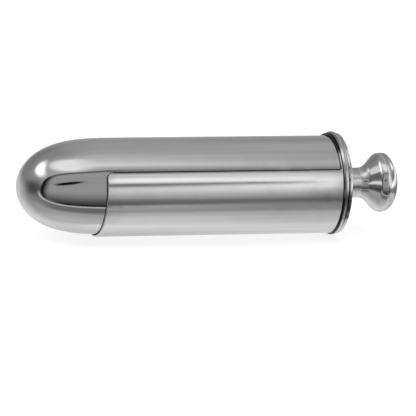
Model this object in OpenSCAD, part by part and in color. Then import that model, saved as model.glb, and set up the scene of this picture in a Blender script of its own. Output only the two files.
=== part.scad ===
// Slotted anal speculum with a bullet-nosed obturator, lying on its side with the slot upwards.
// The instrument is drawn on its own axis, with the sheath's front edge at zero and the knob above
// it, and then laid along X, so that it stands on its ring with the knob towards +X.

/* [Sheath] */
// Outside diameter of the sheath
sheath_d = 35; // [28:0.5:42]
// Thickness of the sheath's wall
sheath_wall = 0.7; // [0.6:0.05:1]
// Length of the sheath from its front edge to the ring
sheath_length = 84.9; // [60:0.1:110]
// Part of the circle that the slot opens, in degrees
slot_angle = 112; // [80:1:150]
// Rounding of the sheath's two front corners
slot_corner_r = 2.5; // [1:0.1:4]
// Width of the whole wall left between the slot's end and the ring
slot_end_band = 0.6; // [0.4:0.1:2]

/* [Rim ring] */
// Width of the ring along the sheath
ring_width = 1.8; // [1.4:0.1:3.5]
// Height of the ring over the sheath
ring_height = 0.55; // [0.4:0.05:1.2]
// Width of the sloping front of the ring
ring_slope = 0.75; // [0.4:0.05:1]
// Depth of the seat turned on the sheath's end for the ring
ring_seat = 0.3; // [0.25:0.05:0.35]
// Bevel of the wall's edges at the ring
seam_bevel = 0.2; // [0.05:0.05:0.2]
// Rounding of the ring's back edge
ring_back_r = 0.45; // [0.2:0.05:0.5]

/* [Obturator shell] */
// Gap all round between the obturator and the sheath's bore
slide_clearance = 0.15; // [0.1:0.01:0.3]
// Thickness of the shell's wall
shell_wall = 1; // [0.8:0.1:2]
// Reach of the nose in front of the sheath
nose_reach = 27.35; // [18:0.05:40]
// Length over which the nose still swells inside the sheath
nose_run_in = 7.6; // [3:0.1:12]
// Fullness of the nose, where 2 is an ellipse
nose_fullness = 3.07; // [2:0.01:4]

/* [End plate] */
// Thickness of the plate's rim
plate_t = 1.65; // [1.2:0.05:3]
// How far the plate's rim stands out past the sheath's outside
plate_overhang = 0.1; // [0:0.05:0.5]
// Length of the plug that enters the shell
plug_length = 4; // [2:0.5:8]
// Wall of the plug
plug_wall = 2; // [1:0.1:4]
// Gap for solder round the plug and the knob's spigot
solder_gap = 0.05; // [0.02:0.01:0.1]

/* [Knob] */
// Diameter of the stem
stem_d = 10.5; // [8:0.1:13]
// Length of the straight stem
stem_length = 7.15; // [4:0.05:12]
// Radius of the hollow flare behind the stem
flare_r = 4.8; // [3:0.1:6]
// Diameter of the knob's head
head_d = 20.8; // [18:0.1:26]
// Distance from the plate to the head's widest place
head_place = 15.65; // [14:0.05:24]
// Rounding of the head's front
head_front_r = 3.7; // [2:0.1:4.5]
// Height of the head's domed back
dome_height = 5.4; // [3:0.1:9]
// Fullness of the domed back, where 2 is an ellipse
dome_fullness = 2.46; // [2:0.01:4]
// Diameter of the spigot that holds the knob in the plate
spigot_d = 6; // [4:0.1:7.5]

/* [Hidden] */
$fn = 96;
nose_steps = 40;
arc_steps = 12;

sheath_r = sheath_d / 2;
bore_r = sheath_r - sheath_wall;
seat_r = sheath_r - ring_seat;
ring_r = sheath_r + ring_height;
rim_end = sheath_length + ring_width;
slot_end = sheath_length - slot_end_band;
edge_r = sheath_wall / 2;
wall_mid_r = sheath_r - edge_r;
edge_flat = 0.02;
// Half of the slot's angle, measured to the middle of the rounded edge
slot_cut = slot_angle / 2 + asin(edge_r / wall_mid_r);

body_r = bore_r - slide_clearance;
nose_length = nose_reach + nose_run_in;
plate_r = sheath_r + plate_overhang;
plate_back = rim_end + plate_t;
plug_r = body_r - shell_wall - solder_gap;
head_at = plate_back + head_place;
knob_end = head_at + dome_height;

// Middle of the whole instrument along its axis, and the height of the axis when it lies down
middle = (knob_end - nose_reach) / 2;
axis_height = ring_r;

module lay() {
    translate([-middle, 0, axis_height]) rotate([0, 90, 0]) children();
}

// Half an oval of half-width r and height h, from its foot at the widest place to its tip
function oval(r, h, fullness, steps) =
    [for (i = [0 : steps]) let (u = sin(90 * i / steps)) [r * sqrt(1 - pow(u, fullness)), h * u]];

function arc(centre, r, from, to, steps = arc_steps) =
    [for (i = [0 : steps]) let (a = from + (to - from) * i / steps)
        centre + r * [cos(a), sin(a)]];

module spin(points) {
    rotate_extrude() polygon(points);
}

// The wedge of the cross-section that the slot opens
module slot_wedge() {
    reach = 3 * sheath_r;
    polygon([[0, 0], for (a = [-slot_cut, 0, slot_cut]) reach * [cos(180 + a), sin(180 + a)]]);
}

// The whole wall before the slot is cut: its front edge is rounded, its end is turned down for the ring
module tube_blank() {
    spin(concat(
        arc([wall_mid_r, edge_r], edge_r, 180, 360),
        [[sheath_r, sheath_length - seam_bevel], [sheath_r - seam_bevel, sheath_length]],
        [[seat_r, sheath_length], [seat_r, rim_end], [bore_r, rim_end]]
    ));
}

// Rounded edge along one side of the slot, with a narrow flat left on each side of the round
module slot_edge(side) {
    start = slot_corner_r / 4;
    rotate(180 + side * slot_cut)
        translate([wall_mid_r, 0, start]) cylinder(r = edge_r - edge_flat, h = slot_end - start);
}

// What is cut away outside a front corner of the slotted wall, which is rounded as seen square on
module corner_cut(side) {
    depth = 4 * sheath_wall;
    rotate(180 + side * slot_angle / 2)
        translate([sheath_r - depth / 2, 0, 0])
            rotate([0, 90, 0])
                linear_extrude(depth, center = true)
                    difference() {
                        translate([-slot_corner_r, side > 0 ? -1 : -slot_corner_r])
                            square([slot_corner_r + 1, slot_corner_r + 1]);
                        translate([-slot_corner_r, side * slot_corner_r]) circle(r = slot_corner_r);
                    }
}

// What is cut away to bevel the edge that the slot's end leaves in front of the ring
module slot_end_cut() {
    rotate(180 - slot_angle / 2) rotate_extrude(angle = slot_angle) polygon([
        [sheath_r - seam_bevel, slot_end], [sheath_r + 1, slot_end],
        [sheath_r + 1, slot_end + seam_bevel + 1]
    ]);
}

module sheath_tube() {
    color("silver") lay() difference() {
        union() {
            difference() {
                tube_blank();
                translate([0, 0, -1]) linear_extrude(slot_end + 1) slot_wedge();
            }
            for (side = [-1, 1]) slot_edge(side);
        }
        for (side = [-1, 1]) corner_cut(side);
        slot_end_cut();
    }
}

module rim_ring() {
    back_centre = [ring_r - ring_back_r, rim_end - ring_back_r];
    color("silver") lay() spin(concat(
        [[seat_r, sheath_length], [sheath_r - seam_bevel, sheath_length]],
        [[ring_r, sheath_length + ring_slope]],
        arc(back_centre, ring_back_r, 0, 90),
        [[seat_r, rim_end]]
    ));
}

module obturator_shell() {
    inner_r = body_r - shell_wall;
    outside = oval(body_r, nose_length, nose_fullness, nose_steps);
    inside = oval(inner_r, nose_length - shell_wall, nose_fullness, nose_steps / 2);
    back = -(rim_end - nose_run_in);
    color("lightgray") lay() translate([0, 0, nose_run_in]) mirror([0, 0, 1]) difference() {
        spin(concat([[0, back], [body_r, back]], outside));
        spin(concat([[0, back - 1], [inner_r, back - 1]], inside));
    }
}

module end_plate() {
    rim_round = plate_t / 2;
    rim_centre = [plate_r - rim_round, rim_end + rim_round];
    hole_r = spigot_d / 2 + solder_gap;
    color("silver") lay() spin(concat(
        [[hole_r, rim_end], [plug_r - plug_wall, rim_end], [plug_r - plug_wall, rim_end - plug_length]],
        [[plug_r, rim_end - plug_length], [plug_r, rim_end]],
        arc(rim_centre, rim_round, -90, 90),
        [[hole_r, plate_back]]
    ));
}

// The knob's outline is a straight stem, a hollow flare, a straight run that touches both rounds, the
// rounded front of the head and its domed back.
module knob() {
    stem_r = stem_d / 2;
    head_r = head_d / 2;
    flare_centre = [stem_r + flare_r, plate_back + stem_length];
    head_centre = [head_r - head_front_r, head_at];
    gap = head_centre - flare_centre;
    slope = atan2(gap[0], gap[1]) + asin((flare_r + head_front_r) / norm(gap));
    dome = oval(head_r, dome_height, dome_fullness, nose_steps / 2);
    color("silver") lay() spin(concat(
        [[0, rim_end], [spigot_d / 2, rim_end], [spigot_d / 2, plate_back], [stem_r, plate_back]],
        arc(flare_centre, flare_r, 180, 180 - slope),
        arc(head_centre, head_front_r, -slope, 0),
        [for (p = dome) p + [0, head_at]]
    ));
}

sheath_tube();
rim_ring();
obturator_shell();
end_plate();
knob();
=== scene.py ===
"""Looks of the slotted speculum: its polished metal, a light tent round it, and the camera."""
from collections import namedtuple
from math import cos, pi, radians, sin

import bpy
from mathutils import Matrix, Vector


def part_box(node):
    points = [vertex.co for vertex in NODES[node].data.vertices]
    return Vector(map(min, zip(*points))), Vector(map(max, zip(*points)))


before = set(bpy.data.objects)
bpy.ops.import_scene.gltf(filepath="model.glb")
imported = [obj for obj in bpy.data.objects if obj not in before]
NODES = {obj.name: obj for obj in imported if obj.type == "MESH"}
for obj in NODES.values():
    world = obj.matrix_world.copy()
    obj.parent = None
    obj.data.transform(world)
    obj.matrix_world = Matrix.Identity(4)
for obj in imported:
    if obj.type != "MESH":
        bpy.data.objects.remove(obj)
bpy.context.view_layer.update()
scene = bpy.context.scene

# Camera. The photo was taken from far away with a long lens.
SENSOR = 36.0
LENS = 391.9
CLIP = (0.05, 20.0)
TURN = radians(17.30)    # the knob's end points this far away from the camera
ROLL = radians(0.87)     # the instrument leans by this much in the picture
LIFT = radians(18.3)     # the camera looks down on the instrument by about this much
TUBE_EDGE = Vector((-0.041025, 0.0, 0.01805))         # middle of the sheath's front edge
EDGE_SEEN = Vector((-0.03922, -0.00756, 1.5566))      # the same point: right, down and away

# The light tent, by direction. Azimuth 0 is straight out on the camera's side and turns towards the
# knob, elevation is above the horizon, and both are in degrees. Levels are radiances, where 1 is white.
# In all the pairs of places below, a change starts at the first and is complete at the second.
UPRIGHT = 90
HALF_TURN = 180
NEAR_BANDS = (           # level of the front wall and floor, by elevation
    (-90, 0.68), (-70, 0.60), (-57, 0.46), (-44, 0.42), (-30, 0.30), (-12, 0.24), (5, 0.26),
    (30, 0.40), (55, 0.50), (90, 0.60),
)
FAR_BANDS = (            # level of the back wall, by elevation
    (-90, 0.72), (-60, 0.90), (-30, 0.80), (-8, 0.70), (6, 0.28), (28, 0.25), (45, 0.33),
    (62, 0.33), (78, 0.42), (90, 0.60),
)
BACK_WALL = (85, 160)                # azimuths on either side where the back wall begins

# Middle and half sizes of an oval, where it begins and is full as shares of them, level and form
Panel = namedtuple("Panel", "shape edge level power tilt", defaults=(2.0, 0.0))
ROOF_PANEL = Panel((-25, 73, 90, 19), (1.15, 0.6), 1.1, power=3.0)     # bright, over the opening
SHADE = Panel((-82, 1, 34, 22), (1.25, 0.15), 0.09)                    # dim wall beside the opening
KEY_LAMP = Panel((-100, 43.8, 18, 6.8), (2.3, 0.3), 2.2, tilt=-0.2)    # softbox beside the nose
LENS_SEEN = Panel((-19, 24, 23, 4.6), (1.05, 0.5), 0.008, tilt=0.22)   # the lens in the opening
END_LAMP = Panel((33, 17, 15, 21), (1.2, 0.7), 1.0)                    # beside the knob
BACK_LAMP = Panel((104, 33, 17, 10), (1.2, 0.7), 1.4)                  # behind it

# The tent's opening
OPENING = (15, 10, 78, 43)           # middle and half sizes of its oval
OPENING_POWER = 3.0
OPENING_BANDS = (                    # level inside, by elevation
    (-34, 0.05), (-22, 0.09), (-10, 0.25), (0, 0.38), (45, 0.42), (52, 0.36),
)
OPENING_EDGE = (1.005, 0.985)        # shares of the oval where the opening begins
OPENING_RIM = (0.87, 0.93)           # and where its rim does
RIM_LEVELS = (0.15, 0.015)           # level of the rim, and of its dark lower and left parts
LEFT_END = (-42, -58)                # azimuths where the left end begins
LEFT_LEVEL = 0.035
LOW_RIM = ((-2, -18), (-45, -18))    # elevations and azimuths where the dark lower rim begins
BELOW = (0, -12)                     # elevations under which the sill and the lip lie
SILL = ((1.55, 1.32), (1.04, 1.12))  # outer and inner edge of the dim sill, as shares of the oval
SILL_SIDE = (-85, -30)               # azimuths where the sill begins
SILL_LEVEL = 0.19
LIP = ((1.11, 1.06), (1.0, 1.03))    # outer and inner edge of the pale lip
LIP_LEVEL = 0.60

# The side wall past the knob. It is split by the share of +X in a direction, because a straight round
# piece mirrors one share along its whole length, and its levels go by angle round the instrument.
SPLIT = 0.272
SIDE_EDGE = (SPLIT - 0.006, SPLIT + 0.006)
ROOF_EDGE = (-0.15, SPLIT)           # the roof and the back wall change more gently
ROOF = (50, 58)                      # elevations where the roof begins
ROOF_SIDES = (60, 90)                # azimuths on either side where the back begins
# SIDE_NEAR, SIDE_FAR and parts of STEM_BANDS follow the photo's own grey levels, which a scratch script
# measured by mirrored angle, thinned and rounded.
SIDE_NEAR = (            # levels beside the sheath's front
    (-180, 0.60), (-138, 0.66), (-126, 0.68), (-108, 0.82), (-88, 0.98), (-66, 0.81), (-52, 0.61),
    (-44, 0.42), (-37, 0.45), (-31, 0.56), (-25.5, 0.15), (-18, 0.22), (-11, 0.46), (-2, 0.68),
    (5, 0.84), (11, 0.80), (15, 0.40), (18, 0.19), (20.5, 0.25), (23, 0.80), (27, 1.38), (31, 1.36),
    (36, 0.86), (43, 0.72), (45, 0.18), (51, 0.20), (58, 0.44), (63, 0.62), (68, 0.90), (76, 0.78),
    (102, 0.48), (150, 0.41),
)
SIDE_FAR = (             # levels beside the ring
    (-180, 0.60), (-136, 0.78), (-108, 0.87), (-90, 0.82), (-76, 0.69), (-60, 0.56), (-50, 0.49),
    (-45, 0.31), (-34, 0.29), (-27, 0.30), (-21, 0.17), (-17, 0.23), (-11, 0.37), (-4, 0.60),
    (4, 0.85), (9, 1.00), (13, 1.18), (16.5, 0.95), (19.5, 0.36), (21.5, 0.33), (25, 1.12),
    (30, 1.18), (38, 0.90), (43, 0.64), (45, 0.17), (51, 0.22), (60, 0.48), (66, 0.54), (80, 0.48),
    (124, 0.49), (145, 0.34), (165, 0.40),
)
SIDE_RANGE = (0.275, 0.325)          # shares of +X from the one to the other
STEM_BANDS = (           # levels beside the knob
    (-180, 0.60), (-100, 0.78), (-62, 0.76), (-38, 0.42), (-31, 0.24), (-27, 0.06), (5, 0.06),
    (14, 0.11), (25, 0.34), (35, 0.44), (65, 0.52), (100, 0.31), (160, 0.25),
)
STEM_EDGE = (0.3262, 0.328)          # shares of +X where they begin
END_BANDS = (            # levels of the wall behind the knob, by elevation
    (-90, 0.60), (-45, 0.58), (-27, 0.70), (-20, 0.20), (-11, 0.24), (-5, 1.10), (4, 1.70),
    (9, 0.60), (14, 0.22), (30, 0.28), (40, 0.50), (60, 0.48), (90, 0.55),
)
END_EDGE = (0.42, 0.55)              # shares of +X where that wall begins

# Edges by share of +X, edges by angle round the instrument, and level
Patch = namedtuple("Patch", "shares turns level")
GLINT = Patch([(0.312, 0.324)], [(6, 13), (34, 28)], 1.25)                       # beside the ring
STRIP = Patch([(0.336, 0.350), (0.50, 0.42)], [(-5, 10), (95, 75)], 1.15)        # beside the knob

# Places along X and round the axis, in metres
AXIS_HEIGHT = (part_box("rim_ring")[0].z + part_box("rim_ring")[1].z) / 2
SHEATH_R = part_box("sheath_tube")[1].y
SHEATH_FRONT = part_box("sheath_tube")[0].x
RING_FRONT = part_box("rim_ring")[0].x
RING_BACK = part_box("rim_ring")[1].x
RING_SLOPE = 0.00075
PLATE_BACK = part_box("end_plate")[1].x
SLOT_HALF_ANGLE = 56
SLOT_CORNER_R = 0.0025
NOSE_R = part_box("obturator_shell")[1].y
NOSE_ROOT = SHEATH_FRONT + 0.0076    # where the nose's oval begins, inside the sheath
NOSE_LENGTH = NOSE_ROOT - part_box("obturator_shell")[0].x
NOSE_FULLNESS = 3.07
NOSE_AGREES = (0.90, 0.93)           # cosines between its exact direction and the mesh's

# Painted shade: dark colour on the edges, in the seams and in the crevices between parts, where shadow falls
PAINTED_SHADE_TONE = 0.035
PAINTED_SHADE_ROUGHNESS = 0.42
SEAM_HALF = 0.00030
SEAM_WIDE = 0.00065
SEAM_CORE = 0.4                      # share of a seam's half width that is fully dark
# Painted shade on the sheath's rounded front edges
EDGE_DEPTH = 0.00028                 # how deep under the outside the painted shade on the sheath's edges begins
LOW_EDGE_PAINTED_SHADE = (EDGE_DEPTH * 0.6, EDGE_DEPTH)
EDGE_PAINTED_SHADE = (EDGE_DEPTH * 1.5, EDGE_DEPTH * 2)
BORE_DEPTH = 0.00067
BORE_SIDE = (BORE_DEPTH, BORE_DEPTH * 0.9)                 # the bore itself gets no painted shade
LOW_EDGES = (150, 118)               # degrees from the top between which the shallower painted shade on the edges fades out towards the bottom
# Painted shade along the slot's sides and round its front corners
SLOT_PAINTED_SHADE = 0.00075                  # width along the slot's sides
SIDE_PAINTED_SHADE = (SLOT_PAINTED_SHADE, SLOT_PAINTED_SHADE * 0.6)
SIDE_FRONT = (SLOT_CORNER_R * 0.3, SLOT_CORNER_R)          # behind the front edge, where it begins
CORNER_PAINTED_SHADE = (SLOT_PAINTED_SHADE * 0.4, SLOT_PAINTED_SHADE * 0.2)           # depth from the corner's round
CORNER_SIDE = (SLOT_CORNER_R, SLOT_CORNER_R * 0.6)         # how far from the slot that part reaches
SLOT_PAINTED_SHADE_END = (RING_FRONT - 0.0004, RING_FRONT - 0.0007)
BAND_FRONT = (RING_FRONT - 0.0010, RING_FRONT - 0.0008)    # the wall between the slot and the ring
BAND_SIDES = ((59, 57), (30, 36))    # degrees from the top between which that wall gets no painted shade
# Painted shade at the top in front of the ring
TOP_PAINTED_SHADE_FRONT = (RING_FRONT - 0.0010, RING_FRONT - 0.0007)
TOP_PAINTED_SHADE_SIDES = (40, 30)
# Painted shade on the ring's front slope on the lower half, and at its foot on top
LOW_PAINTED_SHADE_SIDES = (78, 92)
SLOPE_PAINTED_SHADE = (RING_FRONT + RING_SLOPE * 1.25, RING_FRONT + RING_SLOPE * 0.7)
FOOT_PAINTED_SHADE = (RING_FRONT + RING_SLOPE * 0.5, RING_FRONT + RING_SLOPE * 0.25)
# Painted shade in the seam between ring and plate, and spotted painted shade over the lower half of both
PLATE_SEAM_SIDES = (55, 80)
LOW_HALF_PAINTED_SHADE_SIDES = ((78, 90), (122, 114))
LOW_HALF_PAINTED_SHADE_SHARES = (0.6, 0.92)          # how dark the painted shade on the lower half is on the ring and on the plate
LOW_HALF_PAINTED_SHADE_SPLIT = (RING_BACK - 0.0002, RING_BACK)
SPOTS = (900, 2)                     # scale and detail of the lighter spots in that painted shade
SPOTS_RANGE = (0.40, 0.60)
SPOTS_SHARE = 0.65

# The polish. Each pair is the scale and the detail of a noise.
TONE = 0.68                          # reflectance of the plating
TUBE_ROUGHNESS = 0.045
RING_ROUGHNESS = 0.04
KNOB_ROUGHNESS = 0.10
NOISE_MIDDLE = 0.5
ALONG, AROUND = (0.02, 1, 0.2), (1, 0.02, 1)    # how far its grain is drawn out: along X, round it, out
HAZE = (160, 3)
HAZE_RANGE = (0.42, 0.72)
HAZE_TONE = 0.015
HAZE_ROUGHNESS = 0.9
BRUSHED = (430, 3)
BRUSHED_TONE = 0.18
LINES = (3200, 2)
LINES_DEPTH = 0.0000006
WAVES, WAVES_DRAWN, WAVES_DEPTH = (110, 1), (0.25, 1, 0.2), 0.00003
STREAKS, STREAKS_DRAWN, STREAKS_DEPTH = (380, 2), (0.07, 1, 0.2), 0.000007

FLOOR_SIZE = 6.0
FLOOR_TONE = 0.8
FLOOR_GLOW = 0.7                     # for the camera's rays alone, so that the floor looks white


def make_camera():
    axis = Vector((cos(TURN) * cos(ROLL), -cos(TURN) * sin(ROLL), sin(TURN)))
    down = Vector((sin(ROLL), cos(ROLL), 0))
    away = axis.cross(down)
    to_frame = Matrix((
        axis,
        cos(LIFT) * away - sin(LIFT) * down,
        -cos(LIFT) * down - sin(LIFT) * away,
    ))
    right = to_frame @ Vector((1, 0, 0))
    up = to_frame @ Vector((0, -1, 0))
    back = to_frame @ Vector((0, 0, -1))
    data = bpy.data.cameras.new("camera")
    data.sensor_width = SENSOR
    data.lens = LENS
    data.clip_start, data.clip_end = CLIP
    camera = bpy.data.objects.new("camera", data)
    scene.collection.objects.link(camera)
    place = Matrix((right, up, back)).transposed().to_4x4()
    place.translation = TUBE_EDGE - to_frame @ EDGE_SEEN
    camera.matrix_world = place
    scene.camera = camera


class Graph:
    """Makes shader nodes from plain calls, each of which gives its output back."""

    def __init__(self, tree):
        self.nodes = tree.nodes
        self.links = tree.links

    def put(self, value, socket):
        if isinstance(value, bpy.types.NodeSocket):
            self.links.new(value, socket)
        else:
            socket.default_value = value

    def fill(self, sockets, values):
        for socket, value in zip(sockets, values):
            self.put(value, socket)

    def math(self, operation, *values):
        node = self.nodes.new("ShaderNodeMath")
        node.operation = operation
        self.fill(node.inputs, values)
        return node.outputs[0]

    def degrees(self, value):
        return self.math("MULTIPLY", value, HALF_TURN / pi)

    def blend(self, share, low, high):
        node = self.nodes.new("ShaderNodeMix")
        self.fill((node.inputs[0], node.inputs[2], node.inputs[3]), (share, low, high))
        return node.outputs[0]

    def rise(self, value, start, end):
        """0 before start and 1 after end, smoothly; end may be below start."""
        node = self.nodes.new("ShaderNodeMapRange")
        node.interpolation_type = "SMOOTHSTEP"
        flip = end < start
        self.fill(node.inputs, (value, min(start, end), max(start, end), 1.0 * flip, 1.0 - flip))
        return node.outputs[0]

    def all_of(self, first, *masks):
        for mask in masks:
            first = self.math("MULTIPLY", first, mask)
        return first

    def any_of(self, first, *masks):
        for mask in masks:
            first = self.math("MAXIMUM", first, mask)
        return first

    def bands(self, value, reach, stops):
        """Level at a value from -reach to reach, in straight lines between the stops."""
        node = self.nodes.new("ShaderNodeValToRGB")
        ramp = node.color_ramp
        for index, (place, level) in enumerate(stops):
            stop = ramp.elements[index] if index < 2 else ramp.elements.new(1.0)
            stop.position = (place + reach) / (2 * reach)
            stop.color = (level, level, level, 1)
        self.put(self.math("DIVIDE", self.math("ADD", value, reach), 2 * reach), node.inputs[0])
        return node.outputs[0]

    def vector(self, *parts):
        node = self.nodes.new("ShaderNodeCombineXYZ")
        self.fill(node.inputs, parts)
        return node.outputs[0]

    def vector_math(self, operation, output, *values):
        node = self.nodes.new("ShaderNodeVectorMath")
        node.operation = operation
        self.fill(node.inputs, values)
        return node.outputs[output]

    def noise(self, place, scale, detail, drawn=None):
        """Noise from 0 to 1 at a place given by its three parts, drawn out by that much in each."""
        if drawn:
            place = [self.math("MULTIPLY", part, share) for part, share in zip(place, drawn)]
        node = self.nodes.new("ShaderNodeTexNoise")
        self.put(self.vector(*place), node.inputs["Vector"])
        node.inputs["Scale"].default_value = scale
        node.inputs["Detail"].default_value = detail
        return node.outputs[0]

    def bump(self, height, depth, under=None):
        """A surface direction for relief of that depth in metres, over what is under it."""
        node = self.nodes.new("ShaderNodeBump")
        node.inputs["Distance"].default_value = depth
        self.put(height, node.inputs["Height"])
        if under:
            self.put(under, node.inputs["Normal"])
        return node.outputs[0]

    def oval(self, across, up, shape, power=2.0, tilt=0.0):
        """0 in the middle of an oval of degrees and 1 on its edge; it climbs by tilt."""
        middle_across, middle_up, half_across, half_up = shape
        across = self.math("SUBTRACT", across, middle_across)
        up = self.math("SUBTRACT", self.math("SUBTRACT", up, middle_up), self.math("MULTIPLY", across, tilt))
        terms = []
        for value, half in ((across, half_across), (up, half_up)):
            share = self.math("ABSOLUTE", self.math("DIVIDE", value, half))
            terms.append(self.math("POWER", share, power))
        return self.math("POWER", self.math("ADD", *terms), 1 / power)


def hang(g, level, azimuth, elevation, panel):
    """The level with a panel in front of it."""
    oval = g.oval(azimuth, elevation, panel.shape, panel.power, panel.tilt)
    return g.blend(g.rise(oval, *panel.edge), level, panel.level)


def cover(g, level, share, turn, patch):
    """The level with a patch of the side wall over it."""
    edges = [g.rise(share, *edge) for edge in patch.shares] + [g.rise(turn, *edge) for edge in patch.turns]
    return g.blend(g.all_of(*edges), level, patch.level)


def opening_level(g, azimuth, elevation, oval):
    """Inside the opening: grey room, dark below and at its left end, with a dark rim and the lens."""
    left = g.rise(azimuth, *LEFT_END)
    level = g.blend(left, g.bands(elevation, UPRIGHT, OPENING_BANDS), LEFT_LEVEL)
    low = g.all_of(g.rise(elevation, *LOW_RIM[0]), g.rise(azimuth, *LOW_RIM[1]))
    rim = g.blend(g.any_of(left, low), *RIM_LEVELS)
    level = g.blend(g.rise(oval, *OPENING_RIM), level, rim)
    return hang(g, level, azimuth, elevation, LENS_SEEN)


def front_of_tent(g, azimuth, elevation):
    """The tent without its side wall: back, roof panel, dim wall, opening with its sill, and softbox."""
    behind = g.rise(g.math("ABSOLUTE", azimuth), *BACK_WALL)
    level = g.blend(behind, g.bands(elevation, UPRIGHT, NEAR_BANDS), g.bands(elevation, UPRIGHT, FAR_BANDS))
    level = hang(g, level, azimuth, elevation, ROOF_PANEL)
    level = hang(g, level, azimuth, elevation, SHADE)
    oval = g.oval(azimuth, elevation, OPENING, OPENING_POWER)
    below = g.rise(elevation, *BELOW)
    sill = g.all_of(*(g.rise(oval, *edge) for edge in SILL), below, g.rise(azimuth, *SILL_SIDE))
    level = g.blend(sill, level, SILL_LEVEL)
    lip = g.all_of(*(g.rise(oval, *edge) for edge in LIP), below)
    level = g.blend(lip, level, LIP_LEVEL)
    level = g.blend(g.rise(oval, *OPENING_EDGE), level, opening_level(g, azimuth, elevation, oval))
    return hang(g, level, azimuth, elevation, KEY_LAMP)


def side_of_tent(g, share, turn, azimuth, elevation):
    """The side wall and the wall behind the knob, with the lamps that the ring and the knob mirror."""
    near, far, stem = (g.bands(turn, HALF_TURN, stops) for stops in (SIDE_NEAR, SIDE_FAR, STEM_BANDS))
    level = g.blend(g.rise(share, *SIDE_RANGE), near, far)
    level = cover(g, level, share, turn, GLINT)
    level = g.blend(g.rise(share, *STEM_EDGE), level, stem)
    end = hang(g, g.bands(elevation, UPRIGHT, END_BANDS), azimuth, elevation, END_LAMP)
    end = hang(g, end, azimuth, elevation, BACK_LAMP)
    level = g.blend(g.rise(share, *END_EDGE), level, end)
    return cover(g, level, share, turn, STRIP)


def make_world():
    """The camera sees white, and the metal sees the tent."""
    world = bpy.data.worlds.new("tent")
    scene.world = world
    world.use_nodes = True
    g = Graph(world.node_tree)
    split = g.nodes.new("ShaderNodeSeparateXYZ")
    g.put(g.nodes.new("ShaderNodeTexCoord").outputs["Generated"], split.inputs[0])
    x, y, z = split.outputs
    towards = g.math("MULTIPLY", y, -1.0)
    azimuth = g.degrees(g.math("ARCTAN2", x, towards))
    elevation = g.degrees(g.math("ARCSINE", z))
    turn = g.degrees(g.math("ARCTAN2", z, towards))
    front = front_of_tent(g, azimuth, elevation)
    side = side_of_tent(g, x, turn, azimuth, elevation)
    roof = g.any_of(g.rise(elevation, *ROOF), g.rise(g.math("ABSOLUTE", azimuth), *ROOF_SIDES))
    edge = g.blend(roof, g.rise(x, *SIDE_EDGE), g.rise(x, *ROOF_EDGE))
    seen = g.nodes.new("ShaderNodeLightPath").outputs["Is Camera Ray"]
    g.put(g.blend(seen, g.blend(edge, front, side), 1.0), g.nodes["Background"].inputs["Color"])


Place = namedtuple("Place", "x y height radius arc")


def position(g):
    """Distance along the instrument, across it and over its axis, from its axis, and round it, in metres."""
    split = g.nodes.new("ShaderNodeSeparateXYZ")
    g.put(g.nodes.new("ShaderNodeTexCoord").outputs["Object"], split.inputs[0])
    x, y, z = split.outputs
    height = g.math("SUBTRACT", z, AXIS_HEIGHT)
    radius = g.math("SQRT", g.math("ADD", g.math("MULTIPLY", y, y), g.math("MULTIPLY", height, height)))
    arc = g.math("MULTIPLY", g.math("ARCTAN2", y, height), SHEATH_R)
    return Place(x, y, height, radius, arc)


def nose_normal(g, place):
    """The exact direction of the nose's oval, which is even where its outline has short straight steps."""
    ahead = g.math("DIVIDE", g.math("SUBTRACT", NOSE_ROOT, place.x), NOSE_LENGTH)
    steep = NOSE_FULLNESS * NOSE_R ** 2 / (2 * NOSE_LENGTH)
    lean = g.math("MULTIPLY", g.math("POWER", g.math("MAXIMUM", ahead, 0.0), NOSE_FULLNESS - 1), -steep)
    to_world = g.nodes.new("ShaderNodeVectorTransform")
    to_world.vector_type = "NORMAL"
    g.put(g.vector(lean, place.y, place.height), to_world.inputs[0])
    exact = g.vector_math("NORMALIZE", "Vector", to_world.outputs[0])
    normal = g.nodes.new("ShaderNodeNewGeometry").outputs["Normal"]
    agree = g.vector_math("DOT_PRODUCT", "Value", exact, normal)
    mix = g.nodes.new("ShaderNodeMix")
    mix.data_type = "VECTOR"
    g.fill((mix.inputs["Factor"], mix.inputs[4], mix.inputs[5]), (g.rise(agree, *NOSE_AGREES), normal, exact))
    return mix.outputs[1]


def turned(g, place, start, end):
    """0 at start and 1 at end, which are degrees from the top on either side."""
    return g.rise(g.math("ABSOLUTE", place.arc), SHEATH_R * radians(start), SHEATH_R * radians(end))


def seam(g, place, x, half):
    off = g.math("ABSOLUTE", g.math("SUBTRACT", place.x, x))
    return g.rise(off, half, half * SEAM_CORE)


def slot_painted_shade(g, place):
    """Painted shade along the slot's sides, which follows the rounded corners and ends at the front edge."""
    behind = g.math("SUBTRACT", place.x, SHEATH_FRONT)
    beside = g.math("SUBTRACT", g.math("ABSOLUTE", place.arc), SHEATH_R * radians(SLOT_HALF_ANGLE))
    inward = []
    for distance in (behind, beside):
        left = g.math("MAXIMUM", g.math("SUBTRACT", SLOT_CORNER_R, distance), 0.0)
        inward.append(g.math("MULTIPLY", left, left))
    depth = g.math("SUBTRACT", SLOT_CORNER_R, g.math("SQRT", g.math("ADD", *inward)))
    corner = g.all_of(
        g.rise(depth, *CORNER_PAINTED_SHADE),
        g.rise(beside, *CORNER_SIDE),
    )
    side = g.all_of(
        g.rise(beside, *SIDE_PAINTED_SHADE),
        g.rise(behind, *SIDE_FRONT),
        g.rise(place.x, *SLOT_PAINTED_SHADE_END),
    )
    return g.any_of(corner, side)


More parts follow.
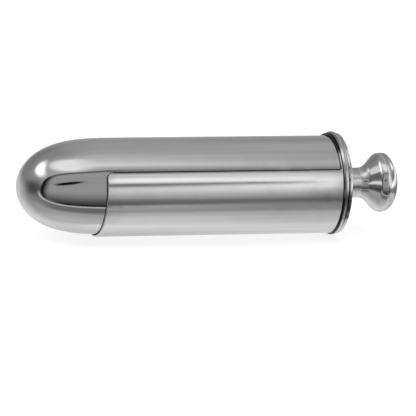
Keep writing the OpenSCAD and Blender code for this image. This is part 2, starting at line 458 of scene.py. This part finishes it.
def sheath_painted_shade(g, place):
    """Painted shade at the seam, on the edges, along the slot and at the top in front of the ring."""
    depth = g.math("SUBTRACT", SHEATH_R, place.radius)
    outside = g.rise(depth, *BORE_SIDE)
    band = g.all_of(g.rise(place.x, *BAND_FRONT), *(turned(g, place, *side) for side in BAND_SIDES))
    unshaded = g.math("SUBTRACT", 1.0, band)
    return g.any_of(
        g.all_of(seam(g, place, RING_FRONT, SEAM_HALF), unshaded),
        g.all_of(g.rise(depth, *LOW_EDGE_PAINTED_SHADE), turned(g, place, *LOW_EDGES), outside),
        g.all_of(g.rise(depth, *EDGE_PAINTED_SHADE), outside),
        g.all_of(slot_painted_shade(g, place), unshaded),
        g.all_of(g.rise(place.x, *TOP_PAINTED_SHADE_FRONT), turned(g, place, *TOP_PAINTED_SHADE_SIDES)),
    )


def rim_painted_shade(g, place):
    """Painted shade in front of the ring, at the top and on the lower half, and in its two seams."""
    slope = g.rise(place.x, *SLOPE_PAINTED_SHADE)
    foot = g.rise(place.x, *FOOT_PAINTED_SHADE)
    return g.any_of(
        seam(g, place, RING_FRONT, SEAM_HALF),
        g.all_of(slope, turned(g, place, *LOW_PAINTED_SHADE_SIDES)),
        g.all_of(foot, turned(g, place, *TOP_PAINTED_SHADE_SIDES)),
        plate_painted_shade(g, place),
    )


def plate_painted_shade(g, place):
    """Painted shade in the seam between ring and plate, and spotted painted shade over both on the lower
    half.
    """
    low = g.all_of(*(turned(g, place, *side) for side in LOW_HALF_PAINTED_SHADE_SIDES))
    spots = g.rise(g.noise((place.x, place.arc, place.radius), *SPOTS), *SPOTS_RANGE)
    share = g.blend(g.rise(place.x, *LOW_HALF_PAINTED_SHADE_SPLIT), *LOW_HALF_PAINTED_SHADE_SHARES)
    return g.any_of(
        g.all_of(seam(g, place, RING_BACK, SEAM_HALF), turned(g, place, *PLATE_SEAM_SIDES)),
        g.all_of(seam(g, place, RING_BACK, SEAM_WIDE), low),
        g.all_of(low, g.blend(spots, 1.0, SPOTS_SHARE), share),
    )


# Painted shade in the seam between plate and knob
def knob_painted_shade(g, place):
    return seam(g, place, PLATE_BACK, SEAM_HALF)


def polished(name, roughness, grain, painted_shade=None, under=None):
    """Polished plating with faint waves, buffing lines and hazier patches, darkened by painted shade in its
    seams and on its edges.
    """
    material = bpy.data.materials.new(name)
    material.use_nodes = True
    g = Graph(material.node_tree)
    shader = g.nodes["Principled BSDF"]
    shader.inputs["Metallic"].default_value = 1.0
    place = position(g)
    spot = (place.x, place.arc, place.radius)

    haze = g.rise(g.noise(spot, *HAZE), *HAZE_RANGE)
    lines = g.noise(spot, *LINES, drawn=grain)
    brushed = g.math("SUBTRACT", g.noise(spot, *BRUSHED, drawn=grain), NOISE_MIDDLE)
    tone = g.math("ADD", TONE - HAZE_TONE, g.math("MULTIPLY", g.math("ADD", haze, lines), HAZE_TONE))
    tone = g.math("ADD", tone, g.math("MULTIPLY", brushed, BRUSHED_TONE))
    rough = g.math("ADD", roughness, g.math("MULTIPLY", haze, roughness * HAZE_ROUGHNESS))
    # share of painted shade, which darkens the colour and roughens it
    dark = painted_shade(g, place) if painted_shade else 0.0
    g.put(g.blend(dark, tone, PAINTED_SHADE_TONE), shader.inputs["Base Color"])
    g.put(g.blend(dark, rough, PAINTED_SHADE_ROUGHNESS), shader.inputs["Roughness"])

    surface = under(g, place) if under else None
    surface = g.bump(g.noise(spot, *WAVES, drawn=WAVES_DRAWN), WAVES_DEPTH, surface)
    surface = g.bump(g.noise(spot, *STREAKS, drawn=STREAKS_DRAWN), STREAKS_DEPTH, surface)
    surface = g.bump(lines, LINES_DEPTH, surface)
    g.put(surface, shader.inputs["Normal"])
    return material


def dress():
    """Each CAD node keeps its own mesh and gets its finish."""
    finishes = {
        "sheath_tube": polished("sheath_chrome", TUBE_ROUGHNESS, ALONG, sheath_painted_shade),
        "rim_ring": polished("rim_chrome", RING_ROUGHNESS, AROUND, rim_painted_shade),
        "obturator_shell": polished("obturator_chrome", TUBE_ROUGHNESS, ALONG, under=nose_normal),
        "end_plate": polished("plate_chrome", RING_ROUGHNESS, AROUND, plate_painted_shade),
        "knob": polished("knob_chrome", KNOB_ROUGHNESS, AROUND, knob_painted_shade),
    }
    for name, material in finishes.items():
        NODES[name].data.materials.clear()
        NODES[name].data.materials.append(material)


def make_floor():
    """A white floor that takes the shadow and stays out of the metal's reflections."""
    bpy.ops.mesh.primitive_plane_add(size=FLOOR_SIZE, location=(0, 0, 0))
    floor = bpy.context.object
    floor.name = "floor"
    floor.visible_glossy = False
    material = bpy.data.materials.new("floor_white")
    material.use_nodes = True
    g = Graph(material.node_tree)
    shader = g.nodes["Principled BSDF"]
    shader.inputs["Base Color"].default_value = (FLOOR_TONE, FLOOR_TONE, FLOOR_TONE, 1)
    shader.inputs["Roughness"].default_value = 1
    shader.inputs["Specular IOR Level"].default_value = 0
    shader.inputs["Emission Color"].default_value = (1, 1, 1, 1)
    seen = g.nodes.new("ShaderNodeLightPath").outputs["Is Camera Ray"]
    g.put(g.math("MULTIPLY", seen, FLOOR_GLOW), shader.inputs["Emission Strength"])
    floor.data.materials.append(material)


make_camera()
dress()
make_floor()
make_world()
scene.view_settings.view_transform = "Standard"
